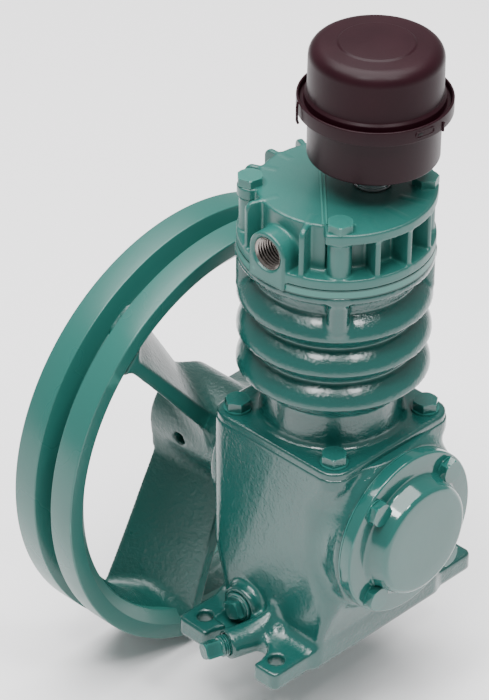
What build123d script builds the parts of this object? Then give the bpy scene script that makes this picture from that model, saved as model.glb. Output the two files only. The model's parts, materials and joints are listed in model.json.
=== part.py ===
from build123d import *
import math
import os

# A bare belt-driven air pump: one finned cylinder on a square crankcase, a spoked flywheel behind
# it and a canister intake filter on the head. Millimetres, +Z up. The origin is on the underside
# of the feet, below the cylinder's axis. The crankshaft runs along Y, with the flywheel at +Y.

os.makedirs("parts", exist_ok=True)

# ---------------------------------------------------------------- driving dimensions
crank_height = 78.6
crank_throw = 16.0
bore_radius = 30.0
rod_length = 112.0
running_gap = 0.05

base_half_x, base_half_y, base_thickness, base_corner = 80.0, 37.5, 11.3, 4.0
foot_hole_x, foot_hole_y, foot_hole_radius = 68.4, 27.25, 4.5
case_half, case_corner, case_top = 47.5, 11.5, 120.7
wall = 6.0
deck_thickness = 9.5
sump_floor = 5.0
spigot_radius = 34.0

front_boss_radius, front_boss_face = 48.0, -52.0
rear_boss_radius, rear_boss_face = 35.0, 58.0

hex_flats = 12.7
bolt_radius = 3.9
bolt_hole_radius = 4.0
bolt_head_height = 5.0

flange_half, flange_top = 47.0, 130.5
base_bolt_offset = 35.8
neck_radius, fin_radius = 38.6, 52.0
fin_rims = (165.0, 186.5, 208.0)
top_flange_radius, top_flange_low, cylinder_top = 52.5, 230.3, 234.6
gasket = 0.8
plate_thickness = 3.4
head_flange_top, head_roof_low, head_top = 245.7, 266.8, 272.8
head_bolt_circle = 45.6
port_height, port_face, port_radius = 252.3, -53.0, 8.0
divider_offset = 7.8

filter_x, filter_y = 12.7, -12.7
pan_low, pan_radius = 291.5, 34.7
skirt_low, skirt_top, skirt_radius = 318.5, 326.5, 40.7
cap_radius, cap_top = 35.3, 357.2
sheet = 1.2

wheel_radius, wheel_near, wheel_far = 128.0, 70.7, 114.9
hub_radius, hub_near, hub_far = 25.0, 62.0, 116.0
shaft_radius, front_journal_radius = 12.5, 10.0

# ---------------------------------------------------------------- worked-out dimensions
cylinder_bottom = case_top + gasket
plate_low = cylinder_top + gasket
plate_top = plate_low + plate_thickness
head_bottom = plate_top + gasket
pin_height = crank_height + crank_throw
wrist_height = pin_height + rod_length
piston_top = cylinder_top - 1.1
piston_bottom = wrist_height - 16.0
piston_radius = bore_radius - 0.08
crank_axis = Axis((0, 0, crank_height), (0, 1, 0))


def across(y, height=crank_height):
    """The plane across the crankshaft at y, seen from the front: x right, z up, normal to -Y."""
    return Plane(origin=(0, y, height), x_dir=(1, 0, 0), z_dir=(0, -1, 0))


def level(height, x=0.0, y=0.0):
    """A horizontal plane."""
    return Plane(origin=(x, y, height), x_dir=(1, 0, 0), z_dir=(0, 0, 1))


def save(builder, name):
    builder.part.label = name
    export_step(builder.part, f"parts/{name}.step")
    print(name, len(builder.part.solids()), round(builder.part.volume))


def square_places(offset):
    return GridLocations(2 * offset, 2 * offset, 2, 2)


# ---------------------------------------------------------------- crankcase
drain_plane = Plane(origin=(-47.5, -6.0, 9.0), x_dir=(0, 0, 1), z_dir=(-0.955, 0.295, 0))
drain_boss_length, drain_boss_radius, drain_hole_radius = 30.5, 8.8, 6.0
fill_plane = Plane(origin=(-case_half, 15.0, 16.5), x_dir=(0, 1, 0), z_dir=(-1, 0, 0))
fill_boss_radius, fill_boss_length, fill_hole_radius = 11.5, 7.0, 7.0
fill_collar_radius, fill_collar_height = 8.4, 2.5

with BuildPart() as crankcase:
    with BuildSketch(level(0)):
        RectangleRounded(2 * base_half_x, 2 * base_half_y, base_corner)
        for side, bay_y, bay_width in ((-1, -2.5, 37), (1, 0, 37)):
            with Locations((side * (base_half_x + 4), bay_y)):
                SlotOverall(2 * 26, bay_width, mode=Mode.SUBTRACT)
    extrude(amount=base_thickness)
    with BuildSketch(level(0)):
        RectangleRounded(2 * case_half, 2 * base_half_y, base_corner)
    with BuildSketch(level(40)):
        RectangleRounded(2 * case_half, 2 * case_half, case_corner)
    loft()
    with BuildSketch(level(40)):
        RectangleRounded(2 * case_half, 2 * case_half, case_corner)
    extrude(amount=case_top - 40)
    with BuildSketch(across(front_boss_face)):
        Circle(front_boss_radius)
    extrude(amount=front_boss_face + case_half)
    with BuildSketch(across(rear_boss_face)):
        Circle(rear_boss_radius)
    extrude(amount=22)
    with BuildSketch(drain_plane):
        Circle(drain_boss_radius)
    extrude(amount=drain_boss_length)
    with BuildSketch(fill_plane):
        Circle(fill_boss_radius)
    extrude(amount=fill_boss_length)
    # the hollow for the crank and the oil, narrower at the sump
    with BuildSketch(level(sump_floor)):
        RectangleRounded(2 * (case_half - wall), 2 * (base_half_y - wall), 5)
    extrude(amount=36, mode=Mode.SUBTRACT)
    with BuildSketch(level(40)):
        RectangleRounded(2 * (case_half - wall), 2 * (case_half - wall), 6)
    extrude(amount=case_top - deck_thickness - 40, mode=Mode.SUBTRACT)
    with BuildSketch(level(case_top)):
        Circle(spigot_radius + 0.2)
        with square_places(base_bolt_offset):
            Circle(bolt_hole_radius)
    extrude(amount=-20, mode=Mode.SUBTRACT)
    with BuildSketch(across(front_boss_face)):
        Circle(spigot_radius + 0.2)
    extrude(amount=-16, mode=Mode.SUBTRACT)
    # the four cover bolts go into blind holes
    with BuildSketch(across(front_boss_face)):
        with square_places(28):
            Circle(bolt_hole_radius)
    extrude(amount=-10, mode=Mode.SUBTRACT)
    # the rear bearing's pocket opens inwards and the seal's pocket outwards
    with BuildSketch(across(36)):
        Circle(rear_boss_radius - 1)
    extrude(amount=-6)
    with BuildSketch(across(30)):
        Circle(26.0)
    extrude(amount=-23, mode=Mode.SUBTRACT)
    with BuildSketch(across(rear_boss_face)):
        Circle(20.0)
    extrude(amount=5, mode=Mode.SUBTRACT)
    with BuildSketch(drain_plane.offset(drain_boss_length)):
        Circle(drain_hole_radius)
    extrude(amount=-drain_boss_length - 12, mode=Mode.SUBTRACT)
    with BuildSketch(fill_plane.offset(fill_boss_length)):
        Circle(fill_hole_radius)
    extrude(amount=-fill_boss_length - wall - 3, mode=Mode.SUBTRACT)
    # a spot-face clears the foot behind the filler plug
    with BuildSketch(fill_plane.offset(fill_boss_length)):
        Circle(fill_collar_radius + 1)
    extrude(amount=12, mode=Mode.SUBTRACT)
    with BuildSketch(level(0)):
        with GridLocations(2 * foot_hole_x, 2 * foot_hole_y, 2, 2):
            Circle(foot_hole_radius)
    extrude(amount=base_thickness, mode=Mode.SUBTRACT)
save(crankcase, "crankcase")

# the filler plug: a square head on a collar, screwed into its boss
with BuildPart() as oil_fill_plug:
    with BuildSketch(fill_plane.offset(fill_boss_length)):
        Circle(fill_collar_radius)
    extrude(amount=fill_collar_height)
    with BuildSketch(fill_plane.offset(fill_boss_length + fill_collar_height)):
        RectangleRounded(11, 11, 1.5)
    extrude(amount=3.5)
    with BuildSketch(fill_plane.offset(fill_boss_length)):
        Circle(fill_hole_radius - 0.1)
    extrude(amount=-11)
save(oil_fill_plug, "oil_fill_plug")

# the drain plug: a taper pipe plug with thread showing and a square head
with BuildPart() as drain_plug:
    with BuildSketch(drain_plane.offset(drain_boss_length - 10)):
        Circle(drain_hole_radius - 0.1)
    extrude(amount=14)
    with BuildSketch(drain_plane.offset(drain_boss_length + 4)):
        RectangleRounded(9, 9, 1)
    extrude(amount=10)
save(drain_plug, "drain_plug")

# ---------------------------------------------------------------- front cover and its bearing
cover_back = front_boss_face - gasket
cover_flange_face, cover_hub_face = -59.8, -71.3
front_race_outer, front_race_width, front_race_y = 23.5, 14.0, -62.0

with BuildPart() as bearing_cover:
    with BuildSketch(across(cover_back)):
        Circle(47.8)
    extrude(amount=cover_back - cover_flange_face)
    with BuildSketch(across(cover_back)):
        Circle(31.0)
    extrude(amount=cover_back - cover_hub_face)
    fillet(bearing_cover.edges().group_by(Axis.Y)[0], 3)
    with BuildSketch(across(cover_back)):
        Circle(spigot_radius)
    extrude(amount=-9)
    with BuildSketch(across(cover_back + 10)):
        Circle(front_race_outer)
    extrude(amount=cover_back + 10 - front_race_y, mode=Mode.SUBTRACT)
    with BuildSketch(across(front_race_y)):
        Circle(17)
    extrude(amount=5, mode=Mode.SUBTRACT)
    with BuildSketch(across(cover_back)):
        with square_places(28):
            Circle(bolt_hole_radius)
    extrude(amount=20, both=True, mode=Mode.SUBTRACT)
save(bearing_cover, "bearing_cover")

with BuildPart() as cover_gasket:
    with BuildSketch(across(front_boss_face)):
        Circle(47.8)
        Circle(spigot_radius + 0.3, mode=Mode.SUBTRACT)
        with square_places(28):
            Circle(bolt_hole_radius + 0.3, mode=Mode.SUBTRACT)
    extrude(amount=gasket)
save(cover_gasket, "cover_gasket")

with BuildPart() as cover_bolts:
    with BuildSketch(across(cover_flange_face)):
        with square_places(28):
            RegularPolygon(hex_flats / 2, 6, major_radius=False)
    extrude(amount=bolt_head_height)
    with BuildSketch(across(cover_flange_face)):
        with square_places(28):
            Circle(bolt_radius)
    extrude(amount=-16)
save(cover_bolts, "cover_bolts")


def ball_bearing(name, y_front, inner, outer, width, ball_radius, balls):
    """Two races with a ball track, the balls, and a flat cage that spaces them."""
    y_mid = y_front + width / 2
    pitch = (inner + outer) / 2
    land = ball_radius * 0.55
    track = ball_radius + 0.03
    for race, low, high in (
        ("outer_race", pitch + land, outer),
        ("inner_race", inner, pitch - land),
    ):
        with BuildPart() as ring:
            with BuildSketch(Plane.YZ):
                with Locations((y_mid, crank_height + (low + high) / 2)):
                    Rectangle(width, high - low)
                with Locations((y_mid, crank_height + pitch)):
                    Circle(track, mode=Mode.SUBTRACT)
            revolve(axis=crank_axis)
        save(ring, f"{name}_{race}")
    turns = [math.radians(i * 360 / balls) for i in range(balls)]
    seats = [
        (pitch * math.cos(turn), y_mid, crank_height + pitch * math.sin(turn)) for turn in turns
    ]
    with BuildPart() as ball_set:
        with Locations(*seats):
            Sphere(ball_radius)
    save(ball_set, f"{name}_balls")
    with BuildPart() as cage:
        with BuildSketch(across(y_mid - ball_radius - 1.2)):
            Circle(pitch + 0.9)
            Circle(pitch - 0.9, mode=Mode.SUBTRACT)
        extrude(amount=-2 * ball_radius - 2.4)
        for turn in turns:
            spoke = (math.cos(turn), 0, math.sin(turn))
            window = Plane(origin=(0, y_mid, crank_height), x_dir=(0, 1, 0), z_dir=spoke)
            with BuildSketch(window):
                Circle(ball_radius + 0.12)
            extrude(amount=outer, mode=Mode.SUBTRACT)
    save(cage, f"{name}_cage")


ball_bearing("front_bearing", front_race_y, front_journal_radius, front_race_outer,
             front_race_width, 3.97, 8)
rear_race_y, rear_race_width = 38.0, 15.0
ball_bearing("rear_bearing", rear_race_y, shaft_radius, 26.0, rear_race_width, 3.97, 9)

with BuildPart() as rear_oil_seal:
    with BuildSketch(across(53.5)):
        Circle(20.0)
        Circle(shaft_radius + running_gap, mode=Mode.SUBTRACT)
    extrude(amount=-4)
save(rear_oil_seal, "rear_oil_seal")

# ---------------------------------------------------------------- crankshaft
pin_radius, pin_half = 10.0, 12.0
web_thickness, web_radius = 12.0, 33.0
core_radius, core_near, core_length = 5.0, pin_half + 1.5, 9.0
shaft_end = 113.0
key_width, key_length, key_near = 6.35, 32.0, 74.0

with BuildPart() as crankshaft:
    with BuildSketch(across(-pin_half - web_thickness)):
        Circle(front_journal_radius)
    extrude(amount=-pin_half - web_thickness + 65)
    with BuildSketch(across(shaft_end)):
        Circle(shaft_radius)
    extrude(amount=shaft_end - pin_half - web_thickness)
    with BuildSketch(across(pin_half)):
        with Locations((0, crank_throw)):
            Circle(pin_radius)
    extrude(amount=2 * pin_half)
    for web_near in (-pin_half - web_thickness, pin_half):
        with BuildSketch(across(web_near)):
            with Locations((0, crank_throw)):
                Circle(14)
            with Locations((0, crank_throw / 2)):
                Rectangle(28, crank_throw)
            Circle(16)
            with BuildLine():
                sweep_angle = 65
                CenterArc((0, 0), web_radius, -90 - sweep_angle, 2 * sweep_angle)
                tip = (web_radius * math.sin(math.radians(sweep_angle)),
                       -web_radius * math.cos(math.radians(sweep_angle)))
                Polyline(tip, (14, 2), (-14, 2), (-tip[0], tip[1]))
            make_face()
        extrude(amount=-web_thickness)
    # keyway for the flywheel
    with BuildSketch(Plane(origin=(0, key_near + key_length / 2, crank_height + shaft_radius))):
        Rectangle(key_width, key_length)
    extrude(amount=-key_width / 2, mode=Mode.SUBTRACT)
    # the cast core hole inside the rear web, midway between the journal and the pin
    with BuildSketch(across(core_near, crank_height + crank_throw / 2)):
        Circle(core_radius + running_gap)
    extrude(amount=-core_length, mode=Mode.SUBTRACT)
save(crankshaft, "crankshaft")

with BuildPart() as crank_core_plug:
    with BuildSketch(across(core_near + 0.4, crank_height + crank_throw / 2)):
        Circle(core_radius)
    extrude(amount=-core_length + 0.8)
save(crank_core_plug, "crank_core_plug")

with BuildPart() as flywheel_key:
    with BuildSketch(Plane(origin=(0, key_near + key_length / 2, crank_height + shaft_radius - 3.1))):
        Rectangle(key_width - 0.1, key_length - 0.2)
    extrude(amount=key_width - 0.2)
save(flywheel_key, "flywheel_key")

# ---------------------------------------------------------------- flywheel
groove_near, groove_far, groove_bottom = 86.45, 99.25, 12.0
rim_face_inner, rim_throat = 119.5, 109.0
rim_middle = (wheel_near + wheel_far) / 2
spoke_angles = (6, 126, 246)
spoke_half_length = 29.0
# each spoke's sections: radius, slant from the crank axis in degrees, thickness
spoke_sections = ((hub_radius - 8, 18, 10.0), (rim_throat + 3, 37, 7.0))
set_screw_y, set_screw_angle, set_screw_radius = 92.0, 186.0, 3.2


def wheel_points(*points):
    return [(y, crank_height + radius) for y, radius in points]


def spoke_plane(radius, angle):
    """The plane across one spoke at a radius, with its normal outwards along the spoke."""
    turn = math.radians(angle)
    outward = (math.cos(turn), 0, math.sin(turn))
    centre = (radius * outward[0], rim_middle, crank_height + radius * outward[2])
    return Plane(origin=centre, x_dir=(-outward[2], 0, outward[0]), z_dir=outward)


with BuildPart() as flywheel:
    with BuildSketch(Plane.YZ):
        with BuildLine():
            Polyline(
                *wheel_points(
                    (wheel_near, rim_face_inner),
                    (wheel_near, wheel_radius),
                    (groove_near, wheel_radius),
                    (groove_near + 3.4, wheel_radius - groove_bottom),
                    (groove_far - 3.4, wheel_radius - groove_bottom),
                    (groove_far, wheel_radius),
                    (wheel_far, wheel_radius),
                    (wheel_far, rim_face_inner),
                    (rim_middle, rim_throat),
                ),
                close=True,
            )
        make_face()
    revolve(axis=crank_axis)
    for angle in spoke_angles:
        for radius, slant, thickness in spoke_sections:
            with BuildSketch(spoke_plane(radius, angle)):
                SlotOverall(2 * spoke_half_length, thickness, rotation=90 - slant)
        loft()
    # the spokes' edges are faced off with the rim
    for face, depth in ((wheel_near, 20), (wheel_far, -20)):
        with BuildSketch(across(face)):
            Circle(wheel_radius)
        extrude(amount=depth, mode=Mode.SUBTRACT)
    with BuildSketch(across(hub_near)):
        Circle(hub_radius)
    extrude(amount=-(hub_far - hub_near))
    with BuildSketch(across(hub_near)):
        Circle(shaft_radius + 0.02)
        with Locations((0, shaft_radius)):
            Rectangle(key_width, key_width + 0.4)
    extrude(amount=-(hub_far - hub_near), mode=Mode.SUBTRACT)
    screw_turn = math.radians(set_screw_angle)
    screw_out = (math.cos(screw_turn), 0, math.sin(screw_turn))
    screw_plane = Plane(origin=(0, set_screw_y, crank_height), x_dir=(0, 1, 0), z_dir=screw_out)
    with BuildSketch(screw_plane.offset(shaft_radius - 2)):
        Circle(set_screw_radius + 0.6)
    extrude(amount=hub_radius, mode=Mode.SUBTRACT)
save(flywheel, "flywheel")

with BuildPart() as flywheel_set_screw:
    with BuildSketch(screw_plane.offset(shaft_radius + 0.05)):
        Circle(set_screw_radius + 0.5)
    extrude(amount=8)
    with BuildSketch(screw_plane.offset(shaft_radius + 8.05)):
        RegularPolygon(1.6, 6)
    extrude(amount=-4, mode=Mode.SUBTRACT)
save(flywheel_set_screw, "flywheel_set_screw")

# ---------------------------------------------------------------- connecting rod and piston
rod_half_width = 10.0
small_end_radius, wrist_pin_radius, wrist_pin_half = 9.0, 6.0, 12.5
big_end_radius, rod_bolt_x = 15.5, 18.2
skirt_wall, crown = 2.6, 5.5

with BuildPart() as connecting_rod:
    with BuildSketch(across(-rod_half_width, pin_height)):
        Circle(big_end_radius)
        Rectangle(2 * rod_bolt_x + 9, 16)
        Rectangle(200, 100, align=(Align.CENTER, Align.MAX), mode=Mode.SUBTRACT)
    extrude(amount=-2 * rod_half_width)
    with BuildSketch(across(-5, pin_height)):
        with Locations((0, rod_length / 2 + 4)):
            Rectangle(12, rod_length - 12)
    extrude(amount=-10)
    with BuildSketch(across(-rod_half_width + 1, wrist_height)):
        Circle(small_end_radius)
    extrude(amount=-2 * rod_half_width + 2)
    with BuildSketch(across(-rod_half_width, pin_height)):
        Circle(pin_radius + running_gap)
    extrude(amount=-2 * rod_half_width, mode=Mode.SUBTRACT)
    with BuildSketch(across(-rod_half_width, wrist_height)):
        Circle(wrist_pin_radius + 0.02)
    extrude(amount=-2 * rod_half_width, mode=Mode.SUBTRACT)
    with BuildSketch(level(pin_height)):
        with Locations((-rod_bolt_x, 0), (rod_bolt_x, 0)):
            Circle(2.6)
    extrude(amount=10, mode=Mode.SUBTRACT)
save(connecting_rod, "connecting_rod")

with BuildPart() as rod_cap:
    with BuildSketch(across(-rod_half_width, pin_height)):
        Circle(big_end_radius)
        Rectangle(2 * rod_bolt_x + 9, 16)
        Circle(pin_radius + running_gap, mode=Mode.SUBTRACT)
        with Locations((0, -0.05)):
            Rectangle(200, 100, align=(Align.CENTER, Align.MIN), mode=Mode.SUBTRACT)
    extrude(amount=-2 * rod_half_width)
    with BuildSketch(level(pin_height)):
        with Locations((-rod_bolt_x, 0), (rod_bolt_x, 0)):
            Circle(2.6)
    extrude(amount=-20, mode=Mode.SUBTRACT)
save(rod_cap, "rod_cap")

with BuildPart() as rod_bolts:
    with BuildSketch(level(pin_height - 8.05)):
        with Locations((-rod_bolt_x, 0), (rod_bolt_x, 0)):
            RegularPolygon(4.0, 6, major_radius=False)
    extrude(amount=-4)
    with BuildSketch(level(pin_height - 8.05)):
        with Locations((-rod_bolt_x, 0), (rod_bolt_x, 0)):
            Circle(2.5)
    extrude(amount=15.5)
save(rod_bolts, "rod_bolts")

with BuildPart() as oil_dipper:
    with BuildSketch(level(pin_height - big_end_radius - 0.05)):
        Rectangle(9, 5)
    extrude(amount=-2)
    with BuildSketch(level(pin_height - big_end_radius - 2.05)):
        Rectangle(6, 2.5)
    extrude(amount=-18)
save(oil_dipper, "oil_dipper")

with BuildPart() as wrist_pin:
    with BuildSketch(across(-wrist_pin_half, wrist_height)):
        Circle(wrist_pin_radius)
        Circle(3.2, mode=Mode.SUBTRACT)
    extrude(amount=-2 * wrist_pin_half)
save(wrist_pin, "wrist_pin")

ring_lows = [piston_top - 5.0, piston_top - 9.5]
oil_ring_low = piston_top - 15.5
ring_height, oil_ring_height = 2.0, 3.5
ring_inner, ring_outer = bore_radius - 2.8, bore_radius - 0.05

with BuildPart() as piston:
    with BuildSketch(level(piston_bottom)):
        Circle(piston_radius)
    extrude(amount=piston_top - piston_bottom)
    with BuildSketch(level(piston_bottom)):
        Circle(piston_radius - skirt_wall)
    extrude(amount=wrist_height + 10.5 - piston_bottom, mode=Mode.SUBTRACT)
    with BuildSketch(level(piston_bottom)):
        Circle(22)
    extrude(amount=piston_top - crown - piston_bottom, mode=Mode.SUBTRACT)
    for side in (-1, 1):
        with BuildSketch(across(side * (wrist_pin_half + 1.5), wrist_height)):
            Circle(9.5)
        extrude(amount=-side * (piston_radius - 2 - wrist_pin_half - 1.5))
    with BuildSketch(across(0, wrist_height)):
        Circle(wrist_pin_radius + 0.1)
    extrude(amount=40, both=True, mode=Mode.SUBTRACT)
    for low, height in ((ring_lows[0], ring_height), (ring_lows[1], ring_height),
                        (oil_ring_low, oil_ring_height)):
        with BuildSketch(level(low - 0.05)):
            Circle(bore_radius + 1)
            Circle(ring_inner - 0.1, mode=Mode.SUBTRACT)
        extrude(amount=height + 0.1, mode=Mode.SUBTRACT)
save(piston, "piston")

with BuildPart() as compression_rings:
    for low in ring_lows:
        with BuildSketch(level(low)):
            Circle(ring_outer)
            Circle(ring_inner, mode=Mode.SUBTRACT)
        extrude(amount=ring_height)
save(compression_rings, "compression_rings")

with BuildPart() as oil_ring:
    with BuildSketch(level(oil_ring_low)):
        Circle(ring_outer)
        Circle(ring_inner, mode=Mode.SUBTRACT)
    extrude(amount=oil_ring_height)
save(oil_ring, "oil_ring")

# ---------------------------------------------------------------- cylinder
with BuildPart() as cylinder_base_gasket:
    with BuildSketch(level(case_top)):
        RectangleRounded(2 * flange_half, 2 * flange_half, case_corner)
        Circle(spigot_radius + 0.4, mode=Mode.SUBTRACT)
        with square_places(base_bolt_offset):
            Circle(bolt_hole_radius + 0.2, mode=Mode.SUBTRACT)
    extrude(amount=gasket)
save(cylinder_base_gasket, "cylinder_base_gasket")

with BuildPart() as cylinder:
    with BuildSketch(level(cylinder_bottom)):
        RectangleRounded(2 * flange_half, 2 * flange_half, case_corner)
    extrude(amount=flange_top - cylinder_bottom)
    with BuildSketch(level(cylinder_bottom - 8)):
        Circle(spigot_radius)
    extrude(amount=20)
    with BuildSketch(level(flange_top)):
        Circle(neck_radius)
    extrude(amount=cylinder_top - flange_top)
    with BuildSketch(Plane.XZ):
        with BuildLine():
            Polyline(
                (neck_radius - 2, flange_top),
                (neck_radius + 4, flange_top),
                (neck_radius + 1.5, flange_top + 2),
                (neck_radius, flange_top + 6),
                (neck_radius - 2, flange_top + 6),
                close=True,
            )
        make_face()
    revolve(axis=Axis.Z)
    # bell-shaped fins: hollow underneath, rounded on top
    for rim in fin_rims:
        with BuildSketch(Plane.XZ):
            with BuildLine():
                Line((neck_radius - 2, rim - 9), (neck_radius + 4, rim - 9))
                Line((neck_radius + 4, rim - 9), (fin_radius, rim))
                Line((fin_radius, rim), (fin_radius, rim + 3))
                ThreePointArc((fin_radius, rim + 3), (49.6, rim + 7.2), (neck_radius + 4, rim + 12.5))
                Line((neck_radius + 4, rim + 12.5), (neck_radius - 2, rim + 12.5))
                Line((neck_radius - 2, rim + 12.5), (neck_radius - 2, rim - 9))
            make_face()
        revolve(axis=Axis.Z)
    with BuildSketch(level(top_flange_low)):
        Circle(top_flange_radius)
    extrude(amount=cylinder_top - top_flange_low)
    with BuildSketch(level(fin_rims[2] + 4)):
        with PolarLocations(head_bolt_circle, 4, start_angle=45):
            Circle(6.5)
    extrude(amount=cylinder_top - fin_rims[2] - 4)
    with BuildSketch(level(cylinder_bottom - 8)):
        Circle(bore_radius)
    extrude(amount=cylinder_top, mode=Mode.SUBTRACT)
    with BuildSketch(level(cylinder_top)):
        with PolarLocations(head_bolt_circle, 4, start_angle=45):
            Circle(bolt_hole_radius)
    extrude(amount=-18, mode=Mode.SUBTRACT)
    with BuildSketch(level(flange_top)):
        with square_places(base_bolt_offset):
            Circle(bolt_hole_radius)
    extrude(amount=-12, mode=Mode.SUBTRACT)
save(cylinder, "cylinder")

with BuildPart() as cylinder_base_bolts:
    with BuildSketch(level(flange_top)):
        with square_places(base_bolt_offset):
            RegularPolygon(hex_flats / 2, 6, major_radius=False)
    extrude(amount=6.3)
    with BuildSketch(level(flange_top)):
        with square_places(base_bolt_offset):
            Circle(bolt_radius)
    extrude(amount=-24)
save(cylinder_base_bolts, "cylinder_base_bolts")

# ---------------------------------------------------------------- valve plate and head
intake_hole, discharge_hole = (12.0, -12.0), (-14.0, 14.0)
divider_width, chamber_inner, chamber_outer = 5.0, 35.0, 40.0


def plate(name, low, thickness, holes):
    """A round plate with the four head-bolt holes and the given (x, y, radius) holes."""
    with BuildPart() as round_plate:
        with BuildSketch(level(low)):
            Circle(top_flange_radius)
            with PolarLocations(head_bolt_circle, 4, start_angle=45):
                Circle(bolt_hole_radius + 0.2, mode=Mode.SUBTRACT)
            for x, y, radius in holes:
                with Locations((x, y)):
                    Circle(radius, mode=Mode.SUBTRACT)
        extrude(amount=thickness)
    save(round_plate, name)


plate("head_gasket", cylinder_top, gasket, [(0, 0, bore_radius + 0.4)])
plate("valve_plate", plate_low, plate_thickness, [(*intake_hole, 6.0), (*discharge_hole, 6.0)])
reed_places = [(0.75 * x, 0.75 * y) for x, y in (intake_hole, discharge_hole)]
plate("head_upper_gasket", plate_top, gasket, [(*place, 13.0) for place in reed_places])

for name, height, place in (
    ("intake_reed", plate_low - 0.45, reed_places[0]),
    ("discharge_reed", plate_top + 0.05, reed_places[1]),
):
    with BuildPart() as reed:
        with BuildSketch(level(height, *place)):
            SlotOverall(24, 14, rotation=-45)
        extrude(amount=0.4)
    save(reed, name)

with BuildPart() as cylinder_head:
    with BuildSketch(level(head_bottom)):
        Circle(top_flange_radius)
    extrude(amount=head_flange_top - head_bottom)
    with BuildSketch(level(head_bottom)):
        Circle(chamber_outer)
    extrude(amount=head_top - head_bottom)
    # the roof reaches the rim over the intake half only; a ridge marks the divider between the halves
    with BuildSketch(level(head_roof_low)):
        Circle(top_flange_radius)
        with Locations(Location((-divider_offset * 0.707, divider_offset * 0.707, 0), 135)):
            Rectangle(200, 200, align=(Align.MIN, Align.CENTER), mode=Mode.SUBTRACT)
    extrude(amount=head_top - head_roof_low)
    with BuildSketch(level(head_flange_top)):
        with Locations(*[Location((0, 0, 0), 22.5 * step) for step in range(16) if step not in (2, 6, 8, 10, 14)]):
            with Locations((45, 0)):
                Rectangle(14, 3.2)
    extrude(amount=head_top - head_flange_top)
    with BuildSketch(level(head_flange_top)):
        with PolarLocations(head_bolt_circle - 1.6, 4, start_angle=45):
            Circle(8.2)
    extrude(amount=head_top - head_flange_top)
    with BuildSketch(level(head_bottom)):
        with Locations((-46, 0)):
            Rectangle(14, 25)
    extrude(amount=port_height - head_bottom)
    with BuildSketch(Plane(origin=(-39, 0, port_height), x_dir=(0, 1, 0), z_dir=(-1, 0, 0))):
        Circle(12.5)
    extrude(amount=-39 - port_face)
    # two chambers below the roof, parted by the divider
    for side in (-1, 1):
        with BuildSketch(level(head_bottom)):
            Circle(chamber_inner)
            with Locations(Location((-divider_offset * 0.707, divider_offset * 0.707, 0), 135)):
                Rectangle(200, 200, align=(Align.MIN if side < 0 else Align.MAX, Align.CENTER),
                          mode=Mode.SUBTRACT)
                Rectangle(divider_width, 200, mode=Mode.SUBTRACT)
        extrude(amount=head_roof_low - head_bottom, mode=Mode.SUBTRACT)
    with BuildSketch(Plane(origin=(port_face, 0, port_height), x_dir=(0, 1, 0), z_dir=(-1, 0, 0))):
        Circle(port_radius)
    extrude(amount=-25, mode=Mode.SUBTRACT)
    with BuildSketch(level(head_top, filter_x, filter_y)):
        Circle(9.0)
    extrude(amount=-8, mode=Mode.SUBTRACT)
    with BuildSketch(level(head_top)):
        with PolarLocations(head_bolt_circle, 4, start_angle=45):
            Circle(bolt_hole_radius + 0.2)
    extrude(amount=-60, mode=Mode.SUBTRACT)
save(cylinder_head, "cylinder_head")

with BuildPart() as head_bolts:
    with BuildSketch(level(head_top)):
        with PolarLocations(head_bolt_circle, 4, start_angle=45):
            RegularPolygon(hex_flats / 2, 6, major_radius=False)
    extrude(amount=4.7)
    with BuildSketch(level(head_top)):
        with PolarLocations(head_bolt_circle, 4, start_angle=45):
            Circle(bolt_radius)
    extrude(amount=-52)
save(head_bolts, "head_bolts")

# ---------------------------------------------------------------- intake filter
pan_top, pan_rim_radius = 319.5, 38.2

with BuildPart() as filter_nipple:
    with BuildSketch(level(head_top, filter_x, filter_y)):
        Circle(10.0)
    extrude(amount=pan_low - head_top)
    with BuildSketch(level(head_top - 6, filter_x, filter_y)):
        Circle(8.95)
    extrude(amount=6)
    with BuildSketch(level(pan_low, filter_x, filter_y)):
        Circle(8.0)
    extrude(amount=6)
    with BuildSketch(level(head_top - 6, filter_x, filter_y)):
        Circle(6.5)
    extrude(amount=40, mode=Mode.SUBTRACT)
save(filter_nipple, "filter_nipple")

with BuildPart() as filter_pan:
    with BuildSketch(level(pan_low, filter_x, filter_y)):
        Circle(pan_radius)
    extrude(amount=pan_top - pan_low)
    fillet(filter_pan.edges().group_by(Axis.Z)[0], 3)
    with BuildSketch(level(pan_top - sheet, filter_x, filter_y)):
        Circle(pan_rim_radius)
    extrude(amount=sheet)
    with BuildSketch(level(pan_low + sheet, filter_x, filter_y)):
        Circle(pan_radius - sheet)
    extrude(amount=pan_top, mode=Mode.SUBTRACT)
    with BuildSketch(level(pan_low, filter_x, filter_y)):
        Circle(8.1)
    extrude(amount=5, mode=Mode.SUBTRACT)
save(filter_pan, "filter_pan")

with BuildPart() as filter_element:
    with BuildSketch(level(pan_low + 2, filter_x, filter_y)):
        Circle(31)
        Circle(16, mode=Mode.SUBTRACT)
    extrude(amount=36)
save(filter_element, "filter_element")

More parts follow.
